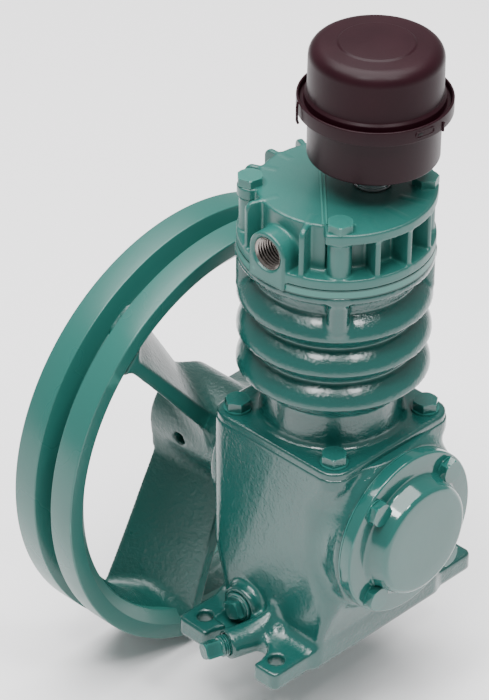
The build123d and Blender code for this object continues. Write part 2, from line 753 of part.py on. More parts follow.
with BuildPart() as filter_cap:
    with BuildSketch(level(skirt_low, filter_x, filter_y)):
        Circle(skirt_radius)
    extrude(amount=skirt_top - skirt_low)
    with BuildSketch(level(skirt_top, filter_x, filter_y)):
        Circle(cap_radius)
    extrude(amount=cap_top - skirt_top)
    fillet(filter_cap.edges().group_by(Axis.Z)[-1], 11)
    with BuildSketch(level(skirt_low, filter_x, filter_y)):
        Circle(skirt_radius - sheet)
    extrude(amount=skirt_top - sheet - skirt_low, mode=Mode.SUBTRACT)
    with BuildSketch(level(skirt_low, filter_x, filter_y)):
        Circle(cap_radius - sheet)
    extrude(amount=cap_top - 14 - skirt_low, mode=Mode.SUBTRACT)
    with BuildSketch(level(cap_top - 14, filter_x, filter_y)):
        Circle(cap_radius - 11)
    extrude(amount=14 - sheet, mode=Mode.SUBTRACT)
save(filter_cap, "filter_cap")
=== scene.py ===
import json
import math

import bpy
import numpy as np
import openvdb
from mathutils import Matrix, Vector


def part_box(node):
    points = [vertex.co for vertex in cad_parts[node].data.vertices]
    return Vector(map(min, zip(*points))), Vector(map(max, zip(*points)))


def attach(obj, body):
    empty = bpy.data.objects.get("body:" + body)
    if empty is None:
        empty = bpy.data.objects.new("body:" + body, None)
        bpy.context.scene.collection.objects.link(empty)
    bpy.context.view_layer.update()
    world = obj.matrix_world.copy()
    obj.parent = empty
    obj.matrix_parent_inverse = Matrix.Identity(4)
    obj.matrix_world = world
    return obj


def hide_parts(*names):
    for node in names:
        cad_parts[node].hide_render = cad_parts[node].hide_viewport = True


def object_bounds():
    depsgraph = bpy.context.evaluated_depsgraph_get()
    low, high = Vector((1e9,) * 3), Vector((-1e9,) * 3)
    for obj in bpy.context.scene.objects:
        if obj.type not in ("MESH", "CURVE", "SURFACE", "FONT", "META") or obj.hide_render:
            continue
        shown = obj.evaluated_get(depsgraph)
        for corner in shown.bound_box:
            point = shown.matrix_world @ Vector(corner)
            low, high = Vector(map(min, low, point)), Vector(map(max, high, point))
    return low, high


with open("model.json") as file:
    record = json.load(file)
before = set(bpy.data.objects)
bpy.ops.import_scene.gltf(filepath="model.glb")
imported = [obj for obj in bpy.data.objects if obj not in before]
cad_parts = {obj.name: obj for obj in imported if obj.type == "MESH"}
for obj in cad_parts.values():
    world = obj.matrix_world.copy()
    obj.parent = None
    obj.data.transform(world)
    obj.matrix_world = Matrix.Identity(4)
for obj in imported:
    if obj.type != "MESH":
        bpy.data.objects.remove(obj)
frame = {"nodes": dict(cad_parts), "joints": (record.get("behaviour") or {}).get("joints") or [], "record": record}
cad_low, cad_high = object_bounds()

# ------------------------------------------------------------------ crankcase
# The crankcase is a sand-cast grey iron box with four feet, a round boss in front for the bearing
# cover and a smaller one behind for the shaft. Sand casting rounds every edge and fills every
# inside corner, so its shape is a distance field in millimetres, joined with real fillet radii.
CASTING = "pump_casting"
CRANK = "crank_and_flywheel"
joints = {joint["name"]: joint for joint in frame["joints"]}
crank_z = 1000 * joints["crank_spin"]["pos_m"][2]


def span(node):
    """The lowest and highest corner of a CAD node, in millimetres."""
    low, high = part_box(node)
    return np.array(low) * 1000, np.array(high) * 1000


def lattice(low, high, step):
    """Grid points round a piece as three arrays that broadcast together."""
    axes = [np.arange(a - 3 * step, b + 4 * step, step) for a, b in zip(low, high)]
    return np.meshgrid(*axes, indexing="ij", sparse=True)


def edged(across, along, edge):
    """Two distances met in a corner that is rounded by edge."""
    u, v = across + edge, along + edge
    return np.minimum(np.maximum(u, v), 0) + np.hypot(np.maximum(u, 0), np.maximum(v, 0)) - edge


def prism(p, centre, half_x, half_y, corner, low_z, high_z, edge):
    """An upright prism on a rounded rectangle."""
    qx = np.abs(p[0] - centre[0]) - half_x + corner
    qy = np.abs(p[1] - centre[1]) - half_y + corner
    across = np.hypot(np.maximum(qx, 0), np.maximum(qy, 0)) + np.minimum(np.maximum(qx, qy), 0)
    along = np.abs(p[2] - (low_z + high_z) / 2) - (high_z - low_z) / 2
    return edged(across - corner, along, edge)


def shaft(p, start, end, radius, edge=0.0):
    """A round bar from start to end, with rounded rims."""
    start, end = np.array(start, float), np.array(end, float)
    length = np.linalg.norm(end - start)
    way = (end - start) / length
    offset = [p[i] - start[i] for i in range(3)]
    along = sum(offset[i] * way[i] for i in range(3))
    square = sum(offset[i] ** 2 for i in range(3)) - along**2
    across = np.sqrt(np.maximum(square, 0)) - radius
    return edged(across, np.abs(along - length / 2) - length / 2, edge)


def join(a, b, fillet):
    """Both solids, with the inside corner between them filled to that radius."""
    bend = np.hypot(np.maximum(fillet - a, 0), np.maximum(fillet - b, 0))
    return np.maximum(fillet, np.minimum(a, b)) - bend


def cut(a, b, edge=0.0):
    """a with b taken away, the new edge rounded."""
    return -join(-a, b, edge) if edge else np.maximum(a, -b)


def finish_mesh(name, vertices, faces, sharp_degrees=None):
    mesh = bpy.data.meshes.new(name)
    mesh.from_pydata(vertices, [], faces)
    mesh.validate()
    mesh.polygons.foreach_set("use_smooth", [True] * len(mesh.polygons))
    if sharp_degrees:
        mesh.set_sharp_from_angle(angle=math.radians(sharp_degrees))
    piece = bpy.data.objects.new(name, mesh)
    bpy.context.scene.collection.objects.link(piece)
    return piece


def cast(name, field, low, step):
    """The surface where the field is zero, as a mesh in metres."""
    grid = openvdb.FloatGrid()
    grid.copyFromArray(np.clip(field, -3 * step, 3 * step).astype(np.float32))
    points, quads = grid.convertToQuads(isovalue=0.0)
    points = (points * step + (np.array(low) - 3 * step)) / 1000
    return finish_mesh(name, points.tolist(), quads[:, ::-1].tolist())


case_low, case_high = span("crankcase")
case_step = 1.2
p = lattice(case_low, case_high, case_step)
foot_top, case_half, case_top = 11.3, 47.5, case_high[2]
foot_half = np.array([case_high[0], 37.5])
wall_half_y = np.interp(p[2], [foot_top, 45], [foot_half[1] + 0.3, case_half])
feet = prism(p, (0, 0), foot_half[0], foot_half[1], 4, 0, foot_top, 1.3)
for side, bay_y in ((-1, -2.5), (1, 0)):
    bay = np.hypot(np.maximum(np.abs(p[0] - side * 84) - 7.5, 0), p[1] - bay_y) - 18.5
    feet = cut(feet, edged(bay, np.abs(p[2]) - 30, 0), 1.5)
front_corner = np.interp(p[2], [12, 34, 62, 104, 120], [2.5, 7, 22, 22, 11.5])
wall_corner = np.where(p[1] < 0, front_corner, 11.5)
walls = prism(p, (0, 0), case_half, wall_half_y, wall_corner, 0, case_top, 0.8)
case = join(walls, feet, 8)
boss_radius = np.interp(p[1], [-49, -44, -30], [48.4, 46.5, 37])
front_boss = np.hypot(p[0], p[2] - crank_z) - boss_radius
case = join(case, edged(front_boss, np.abs(p[1] - case_low[1] / 2) + case_low[1] / 2, 1.2), 8)
case = np.maximum(case, p[2] - case_top)
rear_boss = shaft(p, (0, 30, crank_z), (0, case_high[1], crank_z), 35, 2)
case = join(case, rear_boss, 6)
drain_way = np.array([-0.955, 0.295, 0.0])
drain_start = np.array([-47.5, -6.0, 9.0])
drain_end = drain_start + 30.5 * drain_way
drain_boss = shaft(p, drain_start, drain_end, 8.6, 1.2)
gusset = shaft(p, (-40, -6.5, 26), tuple(drain_start + 19 * drain_way), 2.4)
case = join(case, join(drain_boss, gusset, 6), 5)
fill_start = np.array([-40.0, 15.0, 16.5])
fill_face = np.array([-case_half - 7, 15.0, 16.5])
case = join(case, shaft(p, fill_start, fill_face, 11.8, 1.0), 3)
case = cut(case, shaft(p, fill_face, fill_face + [-12, 0, 0], 9.4), 0.5)
case = np.maximum(case, -p[2])
inside = prism(p, (0, 0), case_half - 6, np.interp(p[2], [30, 45], [31.5, 41.5]), 6, 5, case_top - 9.5, 3)
case = cut(case, inside)
for start, end, radius, edge in (
    ((0, 0, case_top + 9), (0, 0, 90), 34.2, 0.6),
    ((0, case_low[1] - 9, crank_z), (0, -30, crank_z), 34.2, 0.6),
    ((0, 30, crank_z), (0, 53, crank_z), 26.0, 0),
    ((0, 50, crank_z), (0, 70, crank_z), 20.0, 0.6),
    (tuple(drain_end + 9 * drain_way), tuple(drain_start - 12 * drain_way), 6.0, 0.8),
    (tuple(fill_face + [-9, 0, 0]), (-35, 15, 16.5), 7.0, 0.8),
):
    case = cut(case, shaft(p, start, end, radius), edge)
foot_bolt_x, foot_bolt_y = 68.4, 27.25
for x in (-foot_bolt_x, foot_bolt_x):
    for y in (-foot_bolt_y, foot_bolt_y):
        case = cut(case, shaft(p, (x, y, -9), (x, y, 30), 4.5), 0.9)
crankcase = cast("crankcase_casting", case, case_low, case_step)
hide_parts("crankcase")


def linear(code):
    """An sRGB hex colour as the linear colour that a shader takes."""
    parts = [int(code[i : i + 2], 16) / 255 for i in (1, 3, 5)]
    return [v / 12.92 if v <= 0.04045 else ((v + 0.055) / 1.055) ** 2.4 for v in parts] + [1.0]


def add(tree, kind, settings=(), links=()):
    """One shader node, its settings by property or socket name, and the links into its sockets."""
    node = tree.nodes.new(kind)
    for name, value in dict(settings).items():
        if isinstance(name, str) and hasattr(node, name):
            setattr(node, name, value)
        else:
            node.inputs[name].default_value = value
    for name, source in dict(links).items():
        tree.links.new(source, node.inputs[name])
    return node


def start_material(name):
    material = bpy.data.materials.new(name)
    material.use_nodes = True
    tree = material.node_tree
    tree.nodes.clear()
    output = tree.nodes.new("ShaderNodeOutputMaterial")
    place = add(tree, "ShaderNodeTexCoord").outputs["Object"]
    return material, tree, output, place


def sprayed_enamel(name, paint, thin, thick, gloss, coat, sand_mm, sand_depth_mm, peel_depth_mm):
    """Alkyd enamel sprayed on iron: gloss over the casting's sand grain, softened by the film's own
    orange peel; it thins paler over the edges, and painted shade darkens it in the inside corners."""
    material, tree, output, place = start_material(name)
    drift = add(tree, "ShaderNodeTexNoise", {"Scale": 1000 / 70, "Detail": 3.0}, {"Vector": place})
    film = add(
        tree,
        "ShaderNodeMix",
        {"data_type": "RGBA", 6: linear(paint), 7: linear(thick)},
        {0: drift.outputs["Fac"]},
    )
    edges = add(tree, "ShaderNodeNewGeometry")
    corner = add(
        tree,
        "ShaderNodeMapRange",
        {"From Min": 0.50, "From Max": 0.60, "To Min": 0.0, "To Max": 0.55},
        {"Value": edges.outputs["Pointiness"]},
    )
    colour = add(
        tree,
        "ShaderNodeMix",
        {"data_type": "RGBA", 7: linear(thin)},
        {0: corner.outputs["Result"], 6: film.outputs[2]},
    )
    # painted shade: concave hollows, found by pointiness, darken the paint colour
    painted_hollow_shade = add(
        tree,
        "ShaderNodeMapRange",
        {"From Min": 0.40, "From Max": 0.50, "To Min": 0.62, "To Max": 1.0},
        {"Value": edges.outputs["Pointiness"]},
    )
    colour_with_painted_hollow_shade = add(
        tree,
        "ShaderNodeMix",
        {"data_type": "RGBA", "blend_type": "MULTIPLY", 0: 1.0},
        {6: colour.outputs[2], 7: painted_hollow_shade.outputs["Result"]},
    )
    sand = add(
        tree,
        "ShaderNodeTexNoise",
        {"Scale": 1000 / sand_mm, "Detail": 5.0, "Roughness": 0.55},
        {"Vector": place},
    )
    peel = add(
        tree, "ShaderNodeTexNoise", {"Scale": 1000 / 5.5, "Detail": 2.0}, {"Vector": place}
    )
    grain = add(
        tree,
        "ShaderNodeBump",
        {"Strength": 1.0, "Distance": sand_depth_mm / 1000},
        {"Height": sand.outputs["Fac"]},
    )
    skin = add(
        tree,
        "ShaderNodeBump",
        {"Strength": 1.0, "Distance": peel_depth_mm / 1000},
        {"Height": peel.outputs["Fac"], "Normal": grain.outputs["Normal"]},
    )
    dull = add(
        tree,
        "ShaderNodeMapRange",
        {"From Min": 0.35, "From Max": 0.65, "To Min": gloss * 0.8, "To Max": gloss * 1.3},
        {"Value": drift.outputs["Fac"]},
    )
    shader = add(
        tree,
        "ShaderNodeBsdfPrincipled",
        {"IOR": 1.5, "Coat Weight": coat, "Coat Roughness": 0.06},
        {
            "Base Color": colour_with_painted_hollow_shade.outputs[2],
            "Roughness": dull.outputs["Result"],
            "Normal": skin.outputs["Normal"],
        },
    )
    tree.links.new(shader.outputs[0], output.inputs[0])
    return material


case_enamel = sprayed_enamel(
    "gloss_enamel_on_sand_cast_iron", "#17514b", "#2b6c64", "#103e3a", 0.13, 0.3, 1.7, 0.24, 0.22
)
crankcase.data.materials.append(case_enamel)
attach(crankcase, CASTING)


# ------------------------------------------------------------------ filler plug and drain plug
# The filler is a cast plug with a square head on a ringed collar; the drain is a steel pipe plug
# with a small square head and some taper thread showing. Both were sprayed with the casting.
def rounded(corners):
    """An outline of (radius, height, fillet) corners as points, each corner turned into an arc."""
    points = []
    count = len(corners)
    for i, (x, y, fillet) in enumerate(corners):
        here = np.array([x, y], float)
        before = np.array(corners[i - 1][:2], float) - here
        after = np.array(corners[(i + 1) % count][:2], float) - here
        ends = i in (0, count - 1)
        if fillet <= 0 or ends:
            points.append(tuple(here))
            continue
        u, v = before / np.linalg.norm(before), after / np.linalg.norm(after)
        half = math.acos(np.clip(np.dot(u, v), -1, 1)) / 2
        reach = min(fillet / math.tan(half), 0.49 * min(np.linalg.norm(before), np.linalg.norm(after)))
        radius = reach * math.tan(half)
        centre = here + (u + v) / np.linalg.norm(u + v) * radius / math.sin(half)
        start, end = here + u * reach - centre, here + v * reach - centre
        turn = math.atan2(start[0] * end[1] - start[1] * end[0], np.dot(start, end))
        steps = max(3, int(abs(turn) / math.radians(12)))
        for k in range(steps + 1):
            a = turn * k / steps
            spun = (
                start[0] * math.cos(a) - start[1] * math.sin(a),
                start[0] * math.sin(a) + start[1] * math.cos(a),
            )
            points.append(tuple(centre + spun))
    return points


def placed(piece, centre, way):
    """Puts a piece made about Z where it belongs: its origin at centre, its Z along way, in mm."""
    turn = Vector((0, 0, 1)).rotation_difference(Vector(way)).to_matrix().to_4x4()
    piece.data.transform(Matrix.Translation(Vector(centre) / 1000) @ turn)
    return piece


def turned(name, outline, centre, way=(0, 0, 1), segments=160, sharp=35):
    """A piece turned from an outline of (radius, height) points; ends on the axis are closed."""
    vertices, faces, rings = [], [], []
    for radius, height in outline:
        if radius < 1e-6:
            rings.append([len(vertices)])
            vertices.append((0, 0, height / 1000))
            continue
        rings.append(list(range(len(vertices), len(vertices) + segments)))
        for k in range(segments):
            a = 2 * math.pi * k / segments
            vertices.append((radius * math.cos(a) / 1000, radius * math.sin(a) / 1000, height / 1000))
    for lower, upper in zip(rings, rings[1:]):
        for k in range(segments):
            j = (k + 1) % segments
            loop = [
                lower[k % len(lower)], lower[j % len(lower)],
                upper[j % len(upper)], upper[k % len(upper)],
            ]
            faces.append(list(dict.fromkeys(loop)))
    return placed(finish_mesh(name, vertices, faces, sharp), centre, way)


def headed(name, sides, flats, height, centre, way, twist=0.0, chamfer=1.0):
    """A square or hexagon head with its corners chamfered as a lathe leaves them."""
    segments = sides * 12
    half = flats / 2
    levels = [0, height * 0.3, height * 0.62, height * 0.72, height * 0.82, height * 0.91, height]
    vertices, faces = [], []
    for level in levels:
        for k in range(segments):
            a = 2 * math.pi * k / segments
            fold = (a + math.pi / sides) % (2 * math.pi / sides) - math.pi / sides
            radius = min(half / math.cos(fold), half * chamfer + (height - level) * 1.5)
            vertices.append(
                (radius * math.cos(a + twist) / 1000, radius * math.sin(a + twist) / 1000, level / 1000)
            )
    rim = len(vertices) - segments
    for row in range(len(levels) - 1):
        for k in range(segments):
            j = (k + 1) % segments
            a, b = row * segments, (row + 1) * segments
            faces.append([a + k, a + j, b + j, b + k])
    inner = len(vertices)
    for k in range(segments):
        x, y, z = vertices[rim + k]
        vertices.append((x * 0.86, y * 0.86, z))
    for k in range(segments):
        j = (k + 1) % segments
        faces.append([rim + k, rim + j, inner + j, inner + k])
    faces.append([inner + k for k in range(segments)])
    faces.append([k for k in range(segments)][::-1])
    return placed(finish_mesh(name, vertices, faces, 28), centre, way)


def joined(name, pieces):
    """Several meshes made one piece."""
    vertices, faces = [], []
    for piece in pieces:
        shift = len(vertices)
        vertices += [tuple(v.co) for v in piece.data.vertices]
        faces += [[shift + i for i in polygon.vertices] for polygon in piece.data.polygons]
        mesh = piece.data
        bpy.data.objects.remove(piece)
        bpy.data.meshes.remove(mesh)
    return finish_mesh(name, vertices, faces, 30)


fill_collar = turned(
    "fill_collar",
    rounded([(0, -8, 0), (6.9, -8, 0), (6.9, 0.02, 0), (8.8, 0.02, 0.3), (8.8, 1.2, 0.5), (7.6, 1.4, 0.2),
             (7.6, 2.4, 0.7), (5.2, 2.5, 0), (0, 2.5, 0)]),
    fill_face, (-1, 0, 0), 96,
)
fill_square = headed("fill_square", 4, 9.6, 3.9, fill_face + [-2.2, 0, 0], (-1, 0, 0), 0.45, 1.12)
fill_plug = joined("oil_filler_plug", [fill_collar, fill_square])
thread_pitch = 1.41
drain_outline = [(0, -12), (5.9, -12), (5.9, 0)]
for turn_count in range(3):
    base = 0.1 + turn_count * thread_pitch
    drain_outline += [(5.3, base), (6.1, base + 0.45), (6.1, base + 0.75), (5.3, base + 1.25)]
drain_outline += [(5.2, 4.6), (4.2, 5.0), (0, 5.0)]
drain_thread = turned("drain_thread", drain_outline, drain_end, drain_way, 72)
drain_square = headed("drain_square", 4, 8.6, 9.6, drain_end + 4.4 * drain_way, drain_way, 0.2, 1.1)
drain_plug = joined("drain_pipe_plug", [drain_thread, drain_square])
for piece, node in ((fill_plug, "oil_fill_plug"), (drain_plug, "drain_plug")):
    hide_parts(node)
    piece.data.materials.append(case_enamel)
    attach(piece, CASTING)

# ------------------------------------------------------------------ bearing cover
# The front bearing sits in a turned cast-iron cover: a round flange, a raised hub with a generous
# root fillet and a rounded rim, four hex cap screws and a paper gasket, all painted over.
cover_low = span("bearing_cover")[0]
cover_back = span("cover_gasket")[0][1]
flange_face = -59.8
hub_face = cover_low[1]
front = (0, -1, 0)


def from_back(y):
    return cover_back - y


cover = turned(
    "front_bearing_cover",
    rounded([
        (0, from_back(cover_back) + 1, 0), (23.5, 1, 0), (23.5, -8, 0), (34, -8, 0), (34, 0, 0),
        (47.8, 0, 0.5), (47.8, from_back(flange_face), 1.3), (34.6, from_back(flange_face) + 0.2, 3.4),
        (31.4, from_back(hub_face), 3.6), (20, from_back(hub_face), 0), (0, from_back(hub_face), 0),
    ]),
    (0, cover_back, crank_z), front, 220,
)
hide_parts("bearing_cover")
bolt_flats, bolt_chamfer, shank_r, cover_bolt_reach = 12.7, 1.03, 3.9, 28
cover_bolts = joined(
    "cover_bolts_painted",
    [
        part
        for x in (-cover_bolt_reach, cover_bolt_reach)
        for z in (-cover_bolt_reach, cover_bolt_reach)
        for part in (
            turned("seat", [(0, -14), (shank_r, -14), (shank_r, 0.02), (7.6, 0.02), (7.6, 0.6), (0, 0.6)],
                   (x, flange_face, crank_z + z), front, 48),
            headed("head", 6, bolt_flats, 4.9, (x, flange_face, crank_z + z), front,
                   0.21 + 0.02 * x, bolt_chamfer),
        )
    ],
)
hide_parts("cover_bolts")
for piece in (cover, cover_bolts):
    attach(piece, CASTING)
cover_enamel = sprayed_enamel(
    "gloss_enamel_on_turned_cast_iron", "#1a554f", "#2b6c64", "#144741", 0.13, 0.3, 2.2, 0.03, 0.10
)
cover.data.materials.append(cover_enamel)
cover_bolts.data.materials.append(cover_enamel)
frame["nodes"]["cover_gasket"].data.materials.clear()
frame["nodes"]["cover_gasket"].data.materials.append(cover_enamel)

# ------------------------------------------------------------------ cylinder
# The cylinder is cast in one with its square base flange, three bell-shaped cooling fins and a
# round top flange with four bolt bosses; the bore is honed. Same sprayed gloss as the crankcase.
cylinder_low, cylinder_high = span("cylinder")
cylinder_step = 1.08
p = lattice(cylinder_low, cylinder_high, cylinder_step)
flange_low = span("cylinder_base_gasket")[1][2]
flange_top = span("cylinder_base_bolts")[1][2] - 6.3
neck, fin, top_flange = 38.6, 52.0, 52.5
fin_rims = (165.0, 186.5, 208.0)
flange_under = 230.3
base_bolt_reach, head_bolt_reach = 35.8, 32.25


def outline_field(p, outline, step):
    """The distance to a solid turned about Z from a closed (radius, height) outline."""
    radii = np.arange(0, 60 + 3 * step, step)
    heights = p[2].ravel()
    r, z = np.meshgrid(radii, heights, indexing="ij")
    nearest, inside = np.full(r.shape, 1e9), np.zeros(r.shape, bool)
    for (ar, az), (br, bz) in zip(outline, outline[1:] + outline[:1]):
        er, ez = br - ar, bz - az
        t = np.clip(((r - ar) * er + (z - az) * ez) / (er * er + ez * ez + 1e-12), 0, 1)
        nearest = np.minimum(nearest, np.hypot(r - ar - t * er, z - az - t * ez))
        crosses = (az > z) != (bz > z)
        inside ^= crosses & (r < er * (z - az) / (ez if ez else 1e-12) + ar)
    table = np.where(inside, -nearest, nearest)
    distance = np.hypot(p[0], p[1])[:, :, 0] / step
    low_row = np.minimum(distance.astype(int), len(radii) - 2)
    share = np.clip(distance - low_row, 0, 1)[:, :, None]
    return table[low_row] * (1 - share) + table[low_row + 1] * share


barrel = [(0, cylinder_low[2] + 5), (neck, cylinder_low[2] + 5), (neck, 152)]
for rim in fin_rims:
    root = neck + 3 if rim == fin_rims[0] else 43.4
    barrel += [(root, rim - 10.0), (46.6, rim - 4.6), (fin - 1.2, rim - 1.4)]
    barrel += [(fin + 0.3, rim - 0.7), (fin + 0.1, rim + 0.6)]
    barrel += [
        (43.6 + (fin - 43.6) * (1 - share) + 1.9 * math.sin(math.pi * share) ** 0.8, rim + 0.8 + 10.6 * share)
        for share in (0.1, 0.25, 0.4, 0.55, 0.7, 0.85, 1.0)
    ]
barrel += [(44.6, flange_under - 5), (46.2, flange_under - 1.2), (48.6, flange_under), (0, flange_under)]
body = outline_field(p, barrel, cylinder_step / 2)
body = join(body, prism(p, (0, 0), 47, 47, 11.5, flange_low, flange_top, 0.9), 4.0)
top = shaft(p, (0, 0, flange_under), (0, 0, cylinder_high[2]), top_flange, 0.5)
body = join(body, top, 1.2)
for x in (-1, 1):
    for y in (-1, 1):
        place = (x * 33.2, y * 33.2)
        boss = shaft(p, (*place, 211), (*place, cylinder_high[2]), 5.9, 1.0)
        body = join(body, np.maximum(boss, np.hypot(p[0], p[1]) - top_flange), 2.2)
spigot = shaft(p, (0, 0, cylinder_low[2]), (0, 0, flange_low + 2), 34, 1)
body = np.minimum(body, spigot)
body = cut(body, shaft(p, (0, 0, 90), (0, 0, 260), 30.0), 0.4)
for x in (-1, 1):
    for y in (-1, 1):
        base_hole = (x * base_bolt_reach, y * base_bolt_reach)
        body = cut(body, shaft(p, (*base_hole, 100), (*base_hole, 131), 4.0), 0)
        head_hole = (x * head_bolt_reach, y * head_bolt_reach)
        body = cut(body, shaft(p, (*head_hole, 216.6), (*head_hole, 250), 4.0), 0)
cylinder = cast("cylinder_casting", body, cylinder_low, cylinder_step)
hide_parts("cylinder")
cylinder.data.materials.append(case_enamel)
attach(cylinder, CASTING)

base_bolts = joined(
    "cylinder_base_bolts_painted",
    [
        part
        for x in (-base_bolt_reach, base_bolt_reach)
        for y in (-base_bolt_reach, base_bolt_reach)
        for part in (
            turned("washer", [(0, -22), (shank_r, -22), (shank_r, 0.02), (7.7, 0.02), (7.7, 1.0), (0, 1.0)],
                   (x, y, flange_top), (0, 0, 1), 48),
            headed("head", 6, bolt_flats, 6.2, (x, y, flange_top), (0, 0, 1),
                   0.3 + 0.013 * x - 0.01 * y, bolt_chamfer),
        )
    ],
)
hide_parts("cylinder_base_bolts")
base_bolts.data.materials.append(case_enamel)
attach(base_bolts, CASTING)
gasket_node = frame["nodes"]["cylinder_base_gasket"]
gasket_node.data.materials.clear()
gasket_node.data.materials.append(case_enamel)

# ------------------------------------------------------------------ valve plate and gaskets
# A ground steel valve plate is clamped between two thin gaskets under the head. Their edges were
# oversprayed with the head, a little flatter than the crankcase because the film is thinner there.
head_enamel = sprayed_enamel(
    "satin_enamel_on_sand_cast_iron", "#226058", "#3a7a6f", "#19504a", 0.34, 0.06, 1.1, 0.05, 0.07
)
joint_enamel = sprayed_enamel(
    "enamel_bridging_paper_gasket", "#0c3733", "#1a5049", "#08211f", 0.40, 0.0, 1.4, 0.15, 0.10
)
for node, film in (
    ("head_gasket", joint_enamel),
    ("valve_plate", head_enamel),
    ("head_upper_gasket", joint_enamel),
):
    slots = frame["nodes"][node].data.materials
    slots.clear()
    slots.append(film)

# ------------------------------------------------------------------ cylinder head
# The head is one iron casting: a round flange, an intake chamber under a plate that reaches the
# rim, an exhaust chamber with fins standing free round it, and the discharge port at one side.
head_low, head_high = span("cylinder_head")
head_step = 0.78
pad_low = cylinder_high[2]
p = lattice((head_low[0], head_low[1], pad_low), head_high, head_step)
head_flange_top, roof_low, head_top = 245.7, 266.8, head_high[2]
port_z, port_face = 252.3, head_low[0]
divider, diagonal = 7.8, 0.70711
toward = (p[0] - p[1]) * diagonal + divider
rim_distance = np.hypot(p[0], p[1])
head = shaft(p, (0, 0, head_low[2]), (0, 0, head_flange_top), 52.5, 0.7)
exhaust = shaft(p, (0, 0, head_low[2]), (0, 0, head_top), 43.0, 0.7)
intake_wall = shaft(p, (0, 0, head_low[2]), (0, 0, head_top - 1), 40.0, 0.5)
roof = shaft(p, (0, 0, roof_low), (0, 0, head_top), 52.4, 0.7)
roof = edged(roof, -toward, 0.6)
chamber = join(np.minimum(np.maximum(exhaust, toward - 1), intake_wall), roof, 0.8)
head = join(head, chamber, 1.6)
for step in range(16):
    turn_angle = math.radians(22.5 * step)
    if step in (2, 6, 8, 10, 14):
        continue
    along = p[0] * math.cos(turn_angle) + p[1] * math.sin(turn_angle)
    across = np.abs(-p[0] * math.sin(turn_angle) + p[1] * math.cos(turn_angle)) - 1.6
    rib = np.maximum(across, np.maximum(34 - along, head_low[2] + 2 - p[2]))
    outer = edged(rim_distance - 52.0, p[2] - (head_top - 0.3), 4.5)
    rib = edged(rib, outer, 0.7)
    head = join(head, rib, 1.1)
for step in (2, 6, 10, 14):
    turn_angle = math.radians(22.5 * step)
    place = (44.9 * math.cos(turn_angle), 44.9 * math.sin(turn_angle))
    column = shaft(p, (*place, head_low[2]), (*place, head_top), 6.4, 0.6)
    collar = shaft(p, (*place, roof_low - 1.2), (*place, head_top), 7.6, 1.0)
    head = join(head, np.minimum(column, collar), 1.0)
port_half = 12.5
block_z = np.abs(p[2] - (port_z + head_low[2]) / 2) - (port_z - head_low[2]) / 2
block_y = edged(np.abs(p[1]) - port_half, block_z, 0)
arch = np.hypot(p[1], p[2] - port_z) - port_half
port_block = edged(np.minimum(block_y, arch), np.maximum(port_face - p[0], p[0] + 36), 0.9)
head = join(head, port_block, 1.2)
pad = edged(np.abs(p[1]) - port_half, np.maximum(port_face - p[0], p[0] + 50.6), 0.9)
head = np.minimum(head, np.maximum(pad, p[2] - port_z))
under = np.where((rim_distance > 50.4) & (p[0] < -45), pad_low - p[2], head_low[2] - p[2])
head = np.maximum(head, under)
for lower, upper in ((5, 99), (-99, 0)):
    pocket = shaft(p, (0, 0, 200), (0, 0, roof_low - 1), 34.5, 2)
    side_of_wall = np.maximum(lower - toward, toward - upper)
    head = cut(head, np.maximum(pocket, side_of_wall))
head = cut(head, shaft(p, (port_face - 9, 0, port_z), (-28, 0, port_z), 8.9), 0)
head = cut(head, shaft(p, (port_face - 9, 0, port_z), (port_face + 1.0, 0, port_z), 9.7), 0.4)
filter_low, filter_high = span("filter_nipple")
filter_x, filter_y = (filter_low[0] + filter_high[0]) / 2, (filter_low[1] + filter_high[1]) / 2
head = cut(head, shaft(p, (filter_x, filter_y, 255), (filter_x, filter_y, 290), 9.0), 0.5)
for x in (-1, 1):
    for y in (-1, 1):
        head_hole = (x * head_bolt_reach, y * head_bolt_reach)
        head = cut(head, shaft(p, (*head_hole, 200), (*head_hole, 300), 4.2), 0)
cylinder_head = cast("cylinder_head_casting", head, (head_low[0], head_low[1], pad_low), head_step)
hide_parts("cylinder_head")
cylinder_head.data.materials.append(head_enamel)

divider_half = math.sqrt(42.5**2 - divider**2)
divider_profile = [(-1.5, -0.5), (-1.5, 0.45), (-1.25, 0.75), (-0.55, 0.75), (-0.3, 0.25), (0.3, 0.25),
                   (0.55, 0.75), (1.25, 0.75), (1.5, 0.45), (1.5, -0.5)]
ridge_mid = Vector((-divider * diagonal, divider * diagonal, head_top))
ends = [ridge_mid + t * Vector((diagonal, diagonal, 0)) for t in (-divider_half, divider_half)]
strip = [
    tuple((end + Vector((diagonal * u, -diagonal * u, v))) / 1000)
    for end in ends
    for u, v in divider_profile
]
count = len(divider_profile)
divider_line = finish_mesh(
    "head_divider_ridge", strip,
    [[k, (k + 1) % count, count + (k + 1) % count, count + k] for k in range(count)]
    + [list(range(count))[::-1], list(range(count, 2 * count))], 30,
)
divider_line.data.materials.append(head_enamel)
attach(divider_line, CASTING)

head_bolts = joined(
    "head_bolts_painted",
    [
        part
        for x in (-head_bolt_reach, head_bolt_reach)
        for y in (-head_bolt_reach, head_bolt_reach)
        for part in (
            turned("washer", [(0, -50), (shank_r, -50), (shank_r, 0.02), (6.4, 0.02), (6.4, 0.7), (0, 0.7)],
                   (x, y, head_top), (0, 0, 1), 48),
            headed("head", 6, bolt_flats, 4.7, (x, y, head_top), (0, 0, 1),
                   0.1 + 0.011 * x + 0.017 * y, bolt_chamfer),
        )
    ],
)
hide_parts("head_bolts")
head_bolts.data.materials.append(head_enamel)
for piece in (cylinder_head, head_bolts):
    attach(piece, CASTING)

